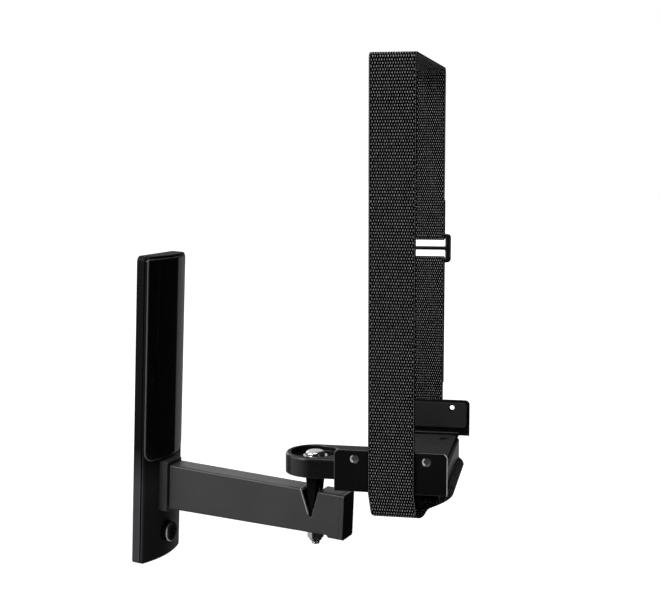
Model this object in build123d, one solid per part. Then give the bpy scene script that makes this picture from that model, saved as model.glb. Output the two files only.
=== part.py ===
from build123d import *
import os
from math import cos, radians, sin, sqrt, tan

# A side-clamp wall bracket: a crowned wall plate with a fixed arm, a head that tilts in the arm's
# V-notch, a cradle that swivels on the head, two jaws that slide across the cradle, and a strap.
# X points out of the wall along the arm, Y along the wall, Z up. Sizes are in millimetres.
# The origin is the middle of the wall plate's back face.

# Pose at rest and limits, in degrees and millimetres
# The V-notch leans towards the wall, and the head tilts as far to each side of that lean
REST_TILT = 2.6
REST_SWIVEL = 13.7
TILT_LIMIT = 10.0
NOTCH_LEAN = 4.0
JAW_TRAVEL_IN = 25.0
JAW_TRAVEL_OUT = 20.0

# Clearances, and how closely an edge that is picked lies to its place
RUNNING_FIT = 0.05
SLIDE_FIT = 0.1
PLUG_FIT = 0.2
ROCK_FIT = 0.3
BOLT_FIT = 0.2
STRAP_FIT = 0.3
CUT_MARGIN = 1.0
MATCH = 0.01

# Wall plate
PLATE_HEIGHT = 296.0
PLATE_WIDTH = 66.0
PLATE_EDGE = 11.6
PLATE_CROWN = 5.9
PLATE_WALL = 3.0
PLATE_TOP_CORNER = 5.0
PLATE_BOTTOM_CORNER = 2.6
PLATE_ROUND = 2.4
PLATE_SEAM_X = 8.8
PLATE_SEAM_DEPTH = 0.7
RIB_THICKNESS = 2.0
RIB_SETBACK = 2.5
RIB_COUNT = 6

# Wall screw holes, on the plate's centre line near its ends
SCREW_HOLE = 8.5
SCREW_HEAD_BORE = 15.0
SCREW_SEAT = 8.0
SCREW_BOSS = 22.0
SCREW_END_INSET = 26.0

# Gloss panel on the upper part of the plate, with its lower edge PANEL_FOOT above the plate's foot
PANEL_WALL = 1.6
PANEL_STAND_OUT = 0.3
PANEL_SIDE_INSET = 0.1
PANEL_TOP_INSET = 2.2
PANEL_FOOT = 100.0
PANEL_TOP_CORNER = 3.0
PANEL_LOWER_CORNER = 10.0
PANEL_ROUND = 1.6
PEG_DIAMETER = 4.0
PEG_LENGTH = 3.0
PEG_INSET = 12.0

# Cap over the lower wall screw
CAP_DIAMETER = 20.0
CAP_HEIGHT = 7.5
CAP_RING = 3.0
CAP_DISH = 1.6
CAP_SKIRT = 4.0
CAP_SKIRT_WALL = 1.6
CAP_SPOT_FACE = 1.0

# Tilt axis, across the arm at the root of the V-notch: its height above the plate's foot and its
# distance from the arm's free end
TILT_RISE = 71.4
TILT_END_INSET = 28.4

# Arm: a cast box, depths measured down from the tilt axis
ARM_WIDTH = 22.0
ARM_WALL = 2.0
ARM_ROUND = 1.8
ARM_START = 26.8
ARM_LENGTH = 178.2
ARM_TOP_RISE = 23.8
ARM_ROOT_DEPTH = 19.7
ARM_WAIST_DEPTH = 16.2
ARM_TIP_DEPTH = 17.9
ARM_STEP_X = 16.0
ARM_STEP_RUN = 1.8
SADDLE_RADIUS = 15.5
SADDLE_CLEARANCE = 0.6

# Socket that carries the arm
SOCKET_WIDTH = 26.0
SOCKET_HEIGHT = 48.5
SOCKET_FRONT = 24.8
SOCKET_ROUND = 1.2
POCKET_FLOOR = 8.0
SPIGOT_LENGTH = 42.0
SOCKET_SCREW_SPACING = 26.0
SOCKET_SCREW_DIAMETER = 6.0
SOCKET_SCREW_HEAD = 11.0
SOCKET_SCREW_HEAD_HEIGHT = 4.0
SOCKET_SCREW_LENGTH = 17.0
ARM_SCREW_DIAMETER = 5.0
ARM_SCREW_HEAD = 9.5
ARM_SCREW_HEAD_HEIGHT = 2.7
ARM_SCREW_LENGTH = 9.0
ARM_SCREW_SPACING = 18.0
SCREW_KEY = 3.0
HEX_FLATS_PER_CORNER = sqrt(3)
DOME_SHARE = 0.8

# Cap in the arm's free end
TIP_CAP_FLANGE = 4.5
TIP_CAP_PLUG = 9.0
TIP_CAP_WALL = 2.0
TIP_CAP_ROUND = 1.0

# Tilt post, heights measured up from the tilt axis
BLADE_HALF_ANGLE = 7.0
BLADE_TIP_RADIUS = 1.2
POST_NECK_DIAMETER = 14.0
POST_NECK_Z = 28.0
POST_FLARE_RADIUS = 7.0
POST_DISC_DIAMETER = 42.0
POST_DISC_THICKNESS = 5.0
SWIVEL_WASHER_DIAMETER = 40.0
SWIVEL_WASHER_THICKNESS = 1.0

# Swivel bolt and its stack
BOLT_DIAMETER = 8.0
BOLT_HEAD_DIAMETER = 18.0
BOLT_HEAD_HEIGHT = 4.2
BOLT_END_STANDOUT = 3.2
BOLT_END_CHAMFER = 0.8
HEAD_WASHER_DIAMETER = 22.0
HEAD_WASHER_THICKNESS = 1.2
SADDLE_WASHER_LENGTH = 14.0
SADDLE_WASHER_THICKNESS = 0.8
SADDLE_WASHER_CORNER = 2.0
NUT_ACROSS_FLATS = 13.0
NUT_HEIGHT = 6.5
NUT_CHAMFER = 0.7
NUT_COLLAR_DIAMETER = 11.4
NUT_COLLAR_HEIGHT = 2.5
NUT_COLLAR_ROUND = 1.2

# Jaws, CLAMP_WIDTH apart over their outer faces
CLAMP_WIDTH = 213.0
JAW_CENTRE_X = 84.5
JAW_BOTTOM_Z = 52.8
JAW_LENGTH = 93.0
JAW_HEIGHT = 35.0
JAW_THICKNESS = 2.0
JAW_CORNER = 4.5
JAW_BEND = 1.5
JAW_EDGE_ROUND = 0.9
JAW_HOLE_SPACING = 59.0
JAW_HOLE_DROP = 7.5
JAW_HOLE = 4.5
JAW_HOLE_DIMPLE = 7.0
TONGUE_END_MARGIN = 5.0
PAD_THICKNESS = 3.0
PAD_INSET = 2.5
PAD_CORNER = 3.5
PAD_ROUND = 0.75
PAD_FLOOR_GAP = 1.0

# Jaw bolts
JAW_BOLT_END_INSET = 18.0
JAW_BOLT_SPACING = 36.0
JAW_BOLT_DIAMETER = 5.0
JAW_BOLT_HEAD = 10.0
JAW_BOLT_STANDOUT = 1.0
JAW_WASHER_DIAMETER = 10.0
JAW_WASHER_THICKNESS = 1.0
JAW_NUT_ACROSS_FLATS = 8.0
JAW_NUT_HEIGHT = 4.0
JAW_NUT_CHAMFER = 0.4

# Cradle plate, a pressed T-shaped pan
PAN_THICKNESS = 3.0
PAN_RIM_DROP = 13.0
PAN_BEND = 2.5
CHANNEL_REAR_X = 64.0
CHANNEL_FRONT_X = 124.0
CHANNEL_END_GAP = 1.5
CHANNEL_CORNER = 5.0
SPINE_WIDTH = 54.0
SPINE_CORNER = 16.0
DISH_RADIUS = 22.0
DISH_DEPTH = 5.0
SHEET_THICKNESS = 2.0
SHEET_INSET = 3.0
SHEET_CORNER = 4.0
SHEET_GROOVE_WIDTH = 1.4
SHEET_GROOVE_DEPTH = 0.7
SHEET_GROOVE_PITCH = 7.0
SHEET_HOLE = 11.0

# Strap and buckle
STRAP_WIDTH = 38.0
STRAP_THICKNESS = 2.0
STRAP_SHIFT_X = 1.0
STRAP_HEIGHT = 353.4
STRAP_TOP_RADIUS = 4.5
STRAP_RUN_RADIUS = 10.0
STRAP_FOLD_RADIUS = 6.0
STRAP_FOLD_Z = -27.0
STRAP_RISE = 42.0
BUCKLE_Z = 235.0
BUCKLE_WIDTH = 50.0
BUCKLE_THICKNESS = 4.2
BUCKLE_BAR = 3.6
BUCKLE_MID_BAR = 3.4
BUCKLE_SLOT = 8.5
BUCKLE_ROUND = 1.6
STRAP_RETURN = 34.0
STRAP_TAIL = 120.0

# Derived places
CROWN_RADIUS = ((PLATE_WIDTH / 2) ** 2 + PLATE_CROWN**2) / (2 * PLATE_CROWN)
CROWN_AXIS_X = PLATE_EDGE + PLATE_CROWN - CROWN_RADIUS
PLATE_FRONT = PLATE_EDGE + PLATE_CROWN
UPPER_SCREW_Z = PLATE_HEIGHT / 2 - SCREW_END_INSET
LOWER_SCREW_Z = -UPPER_SCREW_Z
PANEL_RECESS = CROWN_RADIUS - sqrt((PLATE_SEAM_X - CROWN_AXIS_X) ** 2 + (PLATE_WIDTH / 2) ** 2)
PANEL_TOP_Z = PLATE_HEIGHT / 2 - PANEL_TOP_INSET
PANEL_BOTTOM_Z = PANEL_FOOT - PLATE_HEIGHT / 2
PANEL_HEIGHT = PANEL_TOP_Z - PANEL_BOTTOM_Z
PANEL_WIDTH = PLATE_WIDTH - 2 * PANEL_SIDE_INSET
ARM_END = ARM_START + ARM_LENGTH
TILT_X = ARM_END - TILT_END_INSET
TILT_Z = TILT_RISE - PLATE_HEIGHT / 2
ARM_MIDDLE_Z = TILT_Z + (ARM_TOP_RISE - ARM_ROOT_DEPTH) / 2
ARM_INNER_Y = ARM_WIDTH / 2 - ARM_WALL
SADDLE_WASHER_WIDTH = 2 * ARM_INNER_Y - 4 * PLUG_FIT
BOLT_HOLE = BOLT_DIAMETER + 2 * BOLT_FIT
JAW_OUTER_Y = CLAMP_WIDTH / 2
CHANNEL_END_Y = JAW_OUTER_Y - JAW_THICKNESS - JAW_TRAVEL_IN - CHANNEL_END_GAP
JAW_BOLT_Y = CHANNEL_END_Y - JAW_BOLT_END_INSET
TONGUE_TOP_Z = JAW_BOTTOM_Z + JAW_THICKNESS
PAN_UNDER_Z = TONGUE_TOP_Z + SLIDE_FIT
PAN_TOP_Z = PAN_UNDER_Z + PAN_THICKNESS
PAN_RIM_Z = JAW_BOTTOM_Z - PAN_RIM_DROP
DISH_FLOOR_Z = PAN_TOP_Z - DISH_DEPTH
POST_TOP_Z = DISH_FLOOR_Z - PAN_THICKNESS - SWIVEL_WASHER_THICKNESS - SLIDE_FIT
POST_DISC_Z = POST_TOP_Z - POST_DISC_THICKNESS
NUT_TOP_Z = -(SADDLE_RADIUS + ROCK_FIT + SADDLE_WASHER_THICKNESS)
NUT_END_Z = NUT_TOP_Z - NUT_HEIGHT - NUT_COLLAR_HEIGHT
BOLT_END_Z = NUT_END_Z - BOLT_END_STANDOUT
BOLT_SEAT_Z = DISH_FLOOR_Z + SLIDE_FIT + HEAD_WASHER_THICKNESS
CHANNEL_MIDDLE_X = (CHANNEL_REAR_X + CHANNEL_FRONT_X) / 2
TONGUE_WIDTH = CHANNEL_FRONT_X - CHANNEL_REAR_X - 2 * PAN_THICKNESS - 2 * PLUG_FIT
SLOT_WIDTH = JAW_BOLT_DIAMETER + 2 * BOLT_FIT
STRAP_Y = JAW_OUTER_Y + STRAP_FIT + STRAP_THICKNESS / 2
STRAP_TOP_Z = JAW_BOTTOM_Z + STRAP_HEIGHT - STRAP_THICKNESS / 2
STRAP_RUN_Z = PAN_RIM_Z - STRAP_FIT - STRAP_THICKNESS / 2
JAW_BOLT_PLACES = [
    (CHANNEL_MIDDLE_X + along * JAW_BOLT_SPACING / 2, side * JAW_BOLT_Y)
    for side in (-1, 1)
    for along in (-1, 1)
]

# Frames of the bodies: the head turns about the tilt axis, the cradle about the head's bolt
HEAD_FRAME = Pos(TILT_X, 0, TILT_Z) * Rot(0, -REST_TILT, 0)
CRADLE_FRAME = HEAD_FRAME * Rot(0, 0, REST_SWIVEL)
WALL_FRAME = Location()
ARM_FRAME = Pos(TILT_X, 0, TILT_Z)


def along_x(radius, x0, x1, z=0.0):
    """A round bar along X from x0 to x1, on the centre plane."""
    return Pos((x0 + x1) / 2, 0, z) * Rot(0, 90, 0) * Cylinder(radius, x1 - x0)


def upright(radius, z0, z1):
    """A round bar along Z from z0 to z1, on the axis."""
    return Pos(0, 0, (z0 + z1) / 2) * Cylinder(radius, z1 - z0)


def block(x, y, z):
    """A box given by its (low, high) pair on each axis."""
    size = [high - low for low, high in (x, y, z)]
    middle = [(high + low) / 2 for low, high in (x, y, z)]
    return Pos(*middle) * Box(*size)


def vertices_at(sketch, x, y):
    """The sketch's corners at x, on both sides at y."""
    return [v for v in sketch.vertices() if abs(v.X - x) < MATCH and abs(abs(v.Y) - y) < MATCH]


def hex_nut(across_flats, bore, height, corner_chamfer, top_z):
    """A hexagon nut below top_z, its corners turned down at both ends."""
    corner_radius = across_flats / HEX_FLATS_PER_CORNER
    prism = extrude(RegularPolygon(corner_radius, 6), -height)
    turned = Pos(0, 0, -height / 2) * Cylinder(corner_radius, height)
    turned = chamfer(turned.edges().filter_by(GeomType.CIRCLE), corner_chamfer)
    return Pos(0, 0, top_z) * ((prism & turned) - upright(bore / 2, -height, 0))


def wedge(tip_radius, half_angle, height):
    """Side view of an upright wedge whose round tip is centred on the tilt axis."""
    angle = radians(half_angle)
    low_x = tip_radius * cos(angle)
    low_z = -tip_radius * sin(angle)
    high_x = low_x + (height - low_z) * tan(angle)
    flanks = Polyline((-low_x, low_z), (low_x, low_z), (high_x, height), (-high_x, height), close=True)
    return make_face(flanks) + Circle(tip_radius)


def crown_cylinder(offset_out):
    """The round form that the plate's front follows, moved out by offset_out."""
    return Pos(CROWN_AXIS_X, 0, 0) * Cylinder(CROWN_RADIUS + offset_out, 2 * PLATE_HEIGHT)


def panel_prism(grow):
    """The gloss panel's outline seen from the front, grown all round and carried along X."""
    outline = Rectangle(PANEL_WIDTH + 2 * grow, PANEL_HEIGHT + 2 * grow)
    rows = outline.vertices().group_by(Axis.Y)
    outline = fillet(rows[-1], PANEL_TOP_CORNER + grow)
    rows = outline.vertices().group_by(Axis.Y)
    outline = fillet(rows[0], PANEL_LOWER_CORNER + grow)
    middle_z = (PANEL_TOP_Z + PANEL_BOTTOM_Z) / 2
    return Pos(0, 0, middle_z) * extrude(Plane.YZ * outline, 2 * PLATE_FRONT)


def peg_places():
    """The four pegs' (y, z) places behind the gloss panel."""
    y = PANEL_WIDTH / 2 - PEG_INSET
    return [(s * y, z) for s in (-1, 1) for z in (PANEL_TOP_Z - PEG_INSET, PANEL_BOTTOM_Z + PEG_INSET)]


def plate_bosses():
    """What stands inside the plate's hollow: screw bosses, socket block and cross ribs."""
    bosses = [along_x(SCREW_BOSS / 2, 0, PLATE_FRONT, z) for z in (UPPER_SCREW_Z, LOWER_SCREW_Z)]
    half_width = SOCKET_WIDTH / 2 + PLUG_FIT + PLATE_WALL
    half_height = SOCKET_HEIGHT / 2 + PLUG_FIT + PLATE_WALL
    socket_z = (ARM_MIDDLE_Z - half_height, ARM_MIDDLE_Z + half_height)
    bosses.append(block((0, PLATE_FRONT), (-half_width, half_width), socket_z))
    pitch = PLATE_HEIGHT / (RIB_COUNT + 1)
    for i in range(RIB_COUNT):
        z = -PLATE_HEIGHT / 2 + (i + 1) * pitch
        rib_z = (z - RIB_THICKNESS / 2, z + RIB_THICKNESS / 2)
        bosses.append(block((RIB_SETBACK, PLATE_FRONT), (-PLATE_WIDTH / 2, PLATE_WIDTH / 2), rib_z))
    return bosses


def socket_screw_heights():
    """The two socket screws' heights."""
    return [ARM_MIDDLE_Z - SOCKET_SCREW_SPACING / 2, ARM_MIDDLE_Z + SOCKET_SCREW_SPACING / 2]


def seamed(shell):
    """The plate's solid form with a V-groove round its sides."""
    halves = Part()
    for span, seam_face in (((-PLATE_WALL, PLATE_SEAM_X), -1), ((PLATE_SEAM_X, 2 * PLATE_FRONT), 0)):
        half = shell & block(span, (-PLATE_WIDTH, PLATE_WIDTH), (-PLATE_HEIGHT, PLATE_HEIGHT))
        halves += chamfer(half.faces().sort_by(Axis.X)[seam_face].edges(), PLATE_SEAM_DEPTH)
    return halves


def wall_plate():
    """The crowned shell that is screwed to the wall, open at the back."""
    half = PLATE_WIDTH / 2
    sides = Polyline((PLATE_EDGE, half), (0, half), (0, -half), (PLATE_EDGE, -half))
    front = ThreePointArc((PLATE_EDGE, -half), (PLATE_FRONT, 0), (PLATE_EDGE, half))
    shell = extrude(make_face([sides, front]), PLATE_HEIGHT / 2, both=True)
    corners = shell.edges().filter_by(Axis.X).group_by(Axis.Z)
    shell = fillet(corners[-1], PLATE_TOP_CORNER)
    shell = fillet(shell.edges().filter_by(Axis.X).group_by(Axis.Z)[0], PLATE_BOTTOM_CORNER)
    front_face = shell.faces().sort_by(Axis.X)[-1]
    shell = fillet(front_face.edges(), PLATE_ROUND)
    shell = seamed(shell)
    hollow_y = half - PLATE_WALL
    hollow_z = PLATE_HEIGHT / 2 - PLATE_WALL
    hollow = block((-PLATE_WALL, PLATE_FRONT), (-hollow_y, hollow_y), (-hollow_z, hollow_z))
    hollow = hollow & crown_cylinder(-PANEL_RECESS - PLATE_WALL)
    for boss in plate_bosses():
        hollow -= boss
    shell -= hollow
    shell -= panel_prism(PLUG_FIT) - crown_cylinder(-PANEL_RECESS)
    for y, z in peg_places():
        shell -= Pos(0, y, 0) * along_x(PEG_DIAMETER / 2 + PLUG_FIT, PLATE_EDGE / 2, PLATE_FRONT, z)
    for z in (UPPER_SCREW_Z, LOWER_SCREW_Z):
        shell -= along_x(SCREW_HOLE / 2, -PLATE_WALL, PLATE_FRONT, z)
        shell -= along_x(SCREW_HEAD_BORE / 2, SCREW_SEAT, PLATE_FRONT + PLATE_WALL, z)
    spot_radius = CAP_DIAMETER / 2 + PLUG_FIT
    shell -= along_x(spot_radius, PLATE_FRONT - CAP_SPOT_FACE, PLATE_FRONT + PLATE_WALL, LOWER_SCREW_Z)
    pocket_y = SOCKET_WIDTH / 2 + PLUG_FIT
    pocket_z = SOCKET_HEIGHT / 2 + PLUG_FIT
    shell -= block(
        (POCKET_FLOOR, PLATE_FRONT + PLATE_WALL),
        (-pocket_y, pocket_y),
        (ARM_MIDDLE_Z - pocket_z, ARM_MIDDLE_Z + pocket_z),
    )
    head_depth = SOCKET_SCREW_HEAD_HEIGHT + 2 * PLUG_FIT
    for z in socket_screw_heights():
        shell -= along_x(SOCKET_SCREW_DIAMETER / 2 + BOLT_FIT, 0, PLATE_FRONT, z)
        shell -= along_x(SOCKET_SCREW_HEAD / 2 + BOLT_FIT, -PLATE_WALL, head_depth, z)
    return shell


def gloss_panel():
    """The crowned cover: a shell with a turned-back rim, seated in the plate's recess on four pegs."""
    panel = panel_prism(0) & crown_cylinder(PANEL_STAND_OUT)
    panel -= crown_cylinder(-PANEL_RECESS)
    outer_face = panel.faces().sort_by(Axis.X)[-1]
    panel = fillet(outer_face.edges(), PANEL_ROUND)
    panel -= panel_prism(-PANEL_WALL) & crown_cylinder(PANEL_STAND_OUT - PANEL_WALL)
    for y, z in peg_places():
        inside = CROWN_AXIS_X + sqrt((CROWN_RADIUS + PANEL_STAND_OUT - PANEL_WALL) ** 2 - y**2)
        peg_end = inside - PANEL_RECESS - PEG_LENGTH
        panel += Pos(0, y, 0) * along_x(PEG_DIAMETER / 2, peg_end, inside + PANEL_WALL / 2, z)
    return panel


def lower_screw_cap():
    """A round cap with a raised ring, pushed into the lower screw's head bore."""
    seat = PLATE_FRONT - CAP_SPOT_FACE
    radius = CAP_DIAMETER / 2
    cap = Pos(seat, 0, LOWER_SCREW_Z) * Rot(0, 90, 0) * Cylinder(
        radius, CAP_HEIGHT, align=(Align.CENTER, Align.CENTER, Align.MIN)
    )
    rim = cap.edges().filter_by(GeomType.CIRCLE).sort_by(Axis.X)[-1]
    cap = fillet(rim, CAP_RING / 2)
    crown = seat + CAP_HEIGHT
    cap -= along_x(radius - CAP_RING, crown - CAP_DISH, crown + CAP_DISH, LOWER_SCREW_Z)
    skirt_radius = SCREW_HEAD_BORE / 2 - PLUG_FIT
    cap += along_x(skirt_radius, seat - CAP_SKIRT, seat, LOWER_SCREW_Z)
    inside = skirt_radius - CAP_SKIRT_WALL
    cap -= along_x(inside, seat - CAP_SKIRT, crown - CAP_DISH - CAP_SKIRT_WALL, LOWER_SCREW_Z)
    return cap


def arm_outline(inset):
    """Side view of the arm about the tilt axis, over-long at both ends and smaller by inset."""
    root = ARM_START - TILT_X
    left = root - ARM_WALL
    right = ARM_END - TILT_X + 2 * TIP_CAP_FLANGE
    top = ARM_TOP_RISE - inset
    waist = inset - ARM_WAIST_DEPTH
    tip = inset - ARM_TIP_DEPTH
    taper = (ARM_WAIST_DEPTH - ARM_ROOT_DEPTH) / root
    left_low = (left, waist + taper * left)
    step_high = (ARM_STEP_X, waist + taper * ARM_STEP_X)
    step_low = (ARM_STEP_X + ARM_STEP_RUN, tip)
    corners = (left_low, step_high, step_low, (right, tip), (right, top), (left, top))
    return make_face(Polyline(*corners, close=True))


def swing(rise, angle):
    """How far along the arm the bolt's line lies from the tilt axis, at a height and a lean."""
    return -rise * tan(radians(angle))


def saddle_span():
    """The (rear, front) reach of the saddle: the nut and its washer swing between them."""
    half = max(NUT_ACROSS_FLATS, SADDLE_WASHER_LENGTH) / 2
    reach = []
    for angle in (TILT_LIMIT - NOTCH_LEAN, TILT_LIMIT + NOTCH_LEAN):
        turned = half * cos(radians(angle)) - NUT_TOP_Z * sin(radians(angle))
        reach.append(turned + SADDLE_CLEARANCE)
    return -reach[0], reach[1]


def saddle_cut():
    """What is cut from under the arm, between its walls, to leave a round saddle."""
    below = (-2 * SADDLE_RADIUS, -SADDLE_RADIUS / 2)
    around = block(saddle_span(), (-ARM_INNER_Y, ARM_INNER_Y), below)
    return around - across_y(SADDLE_RADIUS, 0, -ARM_WIDTH, ARM_WIDTH, 0)


def saddle_block():
    """The solid metal behind the saddle, inside the arm."""
    rear, front = saddle_span()
    above = ARM_WALL - SADDLE_RADIUS / 2
    return block((rear - ARM_WALL, front + ARM_WALL), (-ARM_WIDTH, ARM_WIDTH), (-2 * SADDLE_RADIUS, above))


def arm_inside(gap):
    """The arm's inner space about the tilt axis, smaller all round by gap."""
    inset = ARM_WALL + gap
    return extrude(Plane.XZ * arm_outline(inset), ARM_WIDTH / 2 - inset, both=True)


def arm_slice(solid, x0, x1):
    """The part of a solid about the tilt axis that lies between two distances from the wall."""
    reach = 4 * SADDLE_RADIUS
    return solid & block((x0 - TILT_X, x1 - TILT_X), (-reach, reach), (-reach, reach))


def arm_outside():
    """The arm's outer form about the tilt axis, with its long edges rounded."""
    outer = extrude(Plane.XZ * arm_outline(0), ARM_WIDTH / 2, both=True)
    side_faces = outer.faces().filter_by(Axis.Y)
    long_edges = [edge for face in side_faces for edge in face.edges().filter_by(Axis.Z, reverse=True)]
    return fillet(long_edges, ARM_ROUND)


def arm_screw_places():
    """The arm screws' distances from the wall."""
    middle = (ARM_START + SOCKET_FRONT + SPIGOT_LENGTH) / 2
    return [middle - ARM_SCREW_SPACING / 2, middle + ARM_SCREW_SPACING / 2]


def across_y(radius, x, y0, y1, z):
    """A round bar along Y from y0 to y1."""
    return Pos(x, (y0 + y1) / 2, z) * Rot(90, 0, 0) * Cylinder(radius, y1 - y0)


def arm():
    """The box arm, with its V-notch, its saddle, room for the bolt to swing and screw holes."""
    box = arm_outside() - (arm_inside(0) - saddle_block()) - saddle_cut()
    box = arm_slice(box, ARM_START, ARM_END)
    notch = wedge(BLADE_TIP_RADIUS + ROCK_FIT, BLADE_HALF_ANGLE + TILT_LIMIT, 2 * ARM_TOP_RISE)
    box -= extrude(Plane.XZ * (Rot(0, 0, NOTCH_LEAN) * notch), ARM_WIDTH, both=True)
    for rise in (-SADDLE_RADIUS, ARM_TOP_RISE):
        ends = [swing(rise, NOTCH_LEAN - TILT_LIMIT), swing(rise, NOTCH_LEAN + TILT_LIMIT)]
        slot = SlotCenterToCenter(abs(ends[1] - ends[0]), BOLT_HOLE + 2 * BOLT_FIT)
        box -= Pos((ends[0] + ends[1]) / 2, 0, rise) * extrude(slot, SADDLE_RADIUS, both=True)
    for x in arm_screw_places():
        hole = ARM_SCREW_DIAMETER / 2 + BOLT_FIT
        box -= across_y(hole, x - TILT_X, 0, ARM_WIDTH, ARM_MIDDLE_Z - TILT_Z)
    return box


def arm_socket():
    """The block in the wall plate's pocket, with a shoulder and a spigot inside the arm."""
    half_y = SOCKET_WIDTH / 2
    half_z = SOCKET_HEIGHT / 2
    body = block(
        (POCKET_FLOOR, SOCKET_FRONT), (-half_y, half_y), (ARM_MIDDLE_Z - half_z, ARM_MIDDLE_Z + half_z)
    )
    body = fillet(body.edges().filter_by(Axis.X), SOCKET_ROUND)
    body = fillet(body.faces().sort_by(Axis.X)[-1].edges(), SOCKET_ROUND / 2)
    spigot = arm_slice(arm_inside(PLUG_FIT), SOCKET_FRONT - SOCKET_ROUND, SOCKET_FRONT + SPIGOT_LENGTH)
    body += ARM_FRAME * spigot
    for z in socket_screw_heights():
        depth = SOCKET_SCREW_HEAD_HEIGHT + SOCKET_SCREW_LENGTH + BOLT_FIT
        body -= along_x(SOCKET_SCREW_DIAMETER / 2 + RUNNING_FIT, 0, depth + PLUG_FIT, z)
    for x in arm_screw_places():
        tip = ARM_WIDTH / 2 - ARM_SCREW_LENGTH - BOLT_FIT
        body -= across_y(ARM_SCREW_DIAMETER / 2 + RUNNING_FIT, x, tip, ARM_WIDTH, ARM_MIDDLE_Z)
    return body


def button_screw(diameter, head, head_height, length):
    """A domed screw along +Z: its head stands up from zero and its shank goes down."""
    dome = upright(head / 2, 0, head_height)
    dome = fillet(dome.edges().filter_by(GeomType.CIRCLE).sort_by(Axis.Z)[-1], head_height * DOME_SHARE)
    key = extrude(RegularPolygon(SCREW_KEY / HEX_FLATS_PER_CORNER, 6), head_height / 2)
    dome -= Pos(0, 0, head_height / 2) * key
    return dome + upright(diameter / 2, -length, 0)


def socket_screws():
    """The two screws that hold the socket from behind the wall plate."""
    screw = button_screw(
        SOCKET_SCREW_DIAMETER, SOCKET_SCREW_HEAD, SOCKET_SCREW_HEAD_HEIGHT, SOCKET_SCREW_LENGTH
    )
    seat = SOCKET_SCREW_HEAD_HEIGHT + 2 * PLUG_FIT
    return Compound(children=[Pos(seat, 0, z) * Rot(0, -90, 0) * screw for z in socket_screw_heights()])


def arm_screws():
    """The two screws that hold the arm on the spigot, on its far side."""
    screw = button_screw(ARM_SCREW_DIAMETER, ARM_SCREW_HEAD, ARM_SCREW_HEAD_HEIGHT, ARM_SCREW_LENGTH)
    side = Rot(-90, 0, 0) * screw
    return Compound(children=[Pos(x, ARM_WIDTH / 2, ARM_MIDDLE_Z) * side for x in arm_screw_places()])


def arm_end_cap():
    """The plug in the arm's free end: a flange of the arm's outline and a hollow plug."""
    outer = extrude(Plane.XZ * arm_outline(0), ARM_WIDTH / 2, both=True)
    flange = arm_slice(outer, ARM_END, ARM_END + TIP_CAP_FLANGE)
    flange = fillet(flange.edges().filter_by(Axis.X), ARM_ROUND)
    for face in (flange.faces().sort_by(Axis.X)[-1], flange.faces().sort_by(Axis.X)[0]):
        flange = fillet(face.edges(), TIP_CAP_ROUND)
    plug = arm_slice(arm_inside(PLUG_FIT), ARM_END - TIP_CAP_PLUG, ARM_END)
    plug -= arm_slice(arm_inside(PLUG_FIT + TIP_CAP_WALL), ARM_END - TIP_CAP_PLUG, ARM_END)
    return flange + plug


def tilt_post():
    """The cast post: a wedge inside the arm on a pivot pin, a flared neck and a disc."""
    blade = wedge(BLADE_TIP_RADIUS, BLADE_HALF_ANGLE, POST_DISC_Z + POST_DISC_THICKNESS / 2)
    post = extrude(Plane.XZ * blade, ARM_INNER_Y - PLUG_FIT, both=True)
    pin_end = ARM_WIDTH / 2 - SLIDE_FIT
    post += across_y(BLADE_TIP_RADIUS, 0, -pin_end, pin_end, 0)
    neck = POST_NECK_DIAMETER / 2
    disc = POST_DISC_DIAMETER / 2
    flare_start = (neck, POST_DISC_Z - POST_FLARE_RADIUS)
    flare_end = (neck + POST_FLARE_RADIUS, POST_DISC_Z)
    flare_bow = POST_FLARE_RADIUS * (1 - sqrt(0.5))
    flare_middle = (neck + flare_bow, POST_DISC_Z - flare_bow)
    shank = Polyline((0, POST_TOP_Z), (0, POST_NECK_Z), (neck, POST_NECK_Z), flare_start)
    flare = ThreePointArc(flare_start, flare_middle, flare_end)
    top = Polyline(flare_end, (disc, POST_DISC_Z), (disc, POST_TOP_Z), (0, POST_TOP_Z))
    post += revolve(Plane.XZ * make_face([shank, flare, top]), Axis.Z)
    return post - upright(BOLT_HOLE / 2, -SADDLE_RADIUS, POST_TOP_Z)


def ring(outer_diameter, bore, z0, z1):
    """A flat washer between two heights."""
    return upright(outer_diameter / 2, z0, z1) - upright(bore / 2, z0, z1)


def swivel_washer():
    """The nylon disc between the post and the cradle."""
    return ring(SWIVEL_WASHER_DIAMETER, BOLT_HOLE, POST_TOP_Z, POST_TOP_Z + SWIVEL_WASHER_THICKNESS)


def head_washer():
    """The washer under the bolt's head."""
    return ring(HEAD_WASHER_DIAMETER, BOLT_HOLE, BOLT_SEAT_Z - HEAD_WASHER_THICKNESS, BOLT_SEAT_Z)


def swivel_bolt():
    """The long bolt that clamps the head: a low domed head above and a chamfered end below."""
    crown_z = BOLT_SEAT_Z + BOLT_HEAD_HEIGHT
    head = upright(BOLT_HEAD_DIAMETER / 2, BOLT_SEAT_Z, crown_z)
    head = fillet(head.edges().filter_by(GeomType.CIRCLE).sort_by(Axis.Z)[-1], BOLT_HEAD_HEIGHT * DOME_SHARE)
    shank = upright(BOLT_DIAMETER / 2, BOLT_END_Z, BOLT_SEAT_Z)
    shank = chamfer(shank.edges().filter_by(GeomType.CIRCLE).sort_by(Axis.Z)[0], BOLT_END_CHAMFER)
    return head + shank


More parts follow.
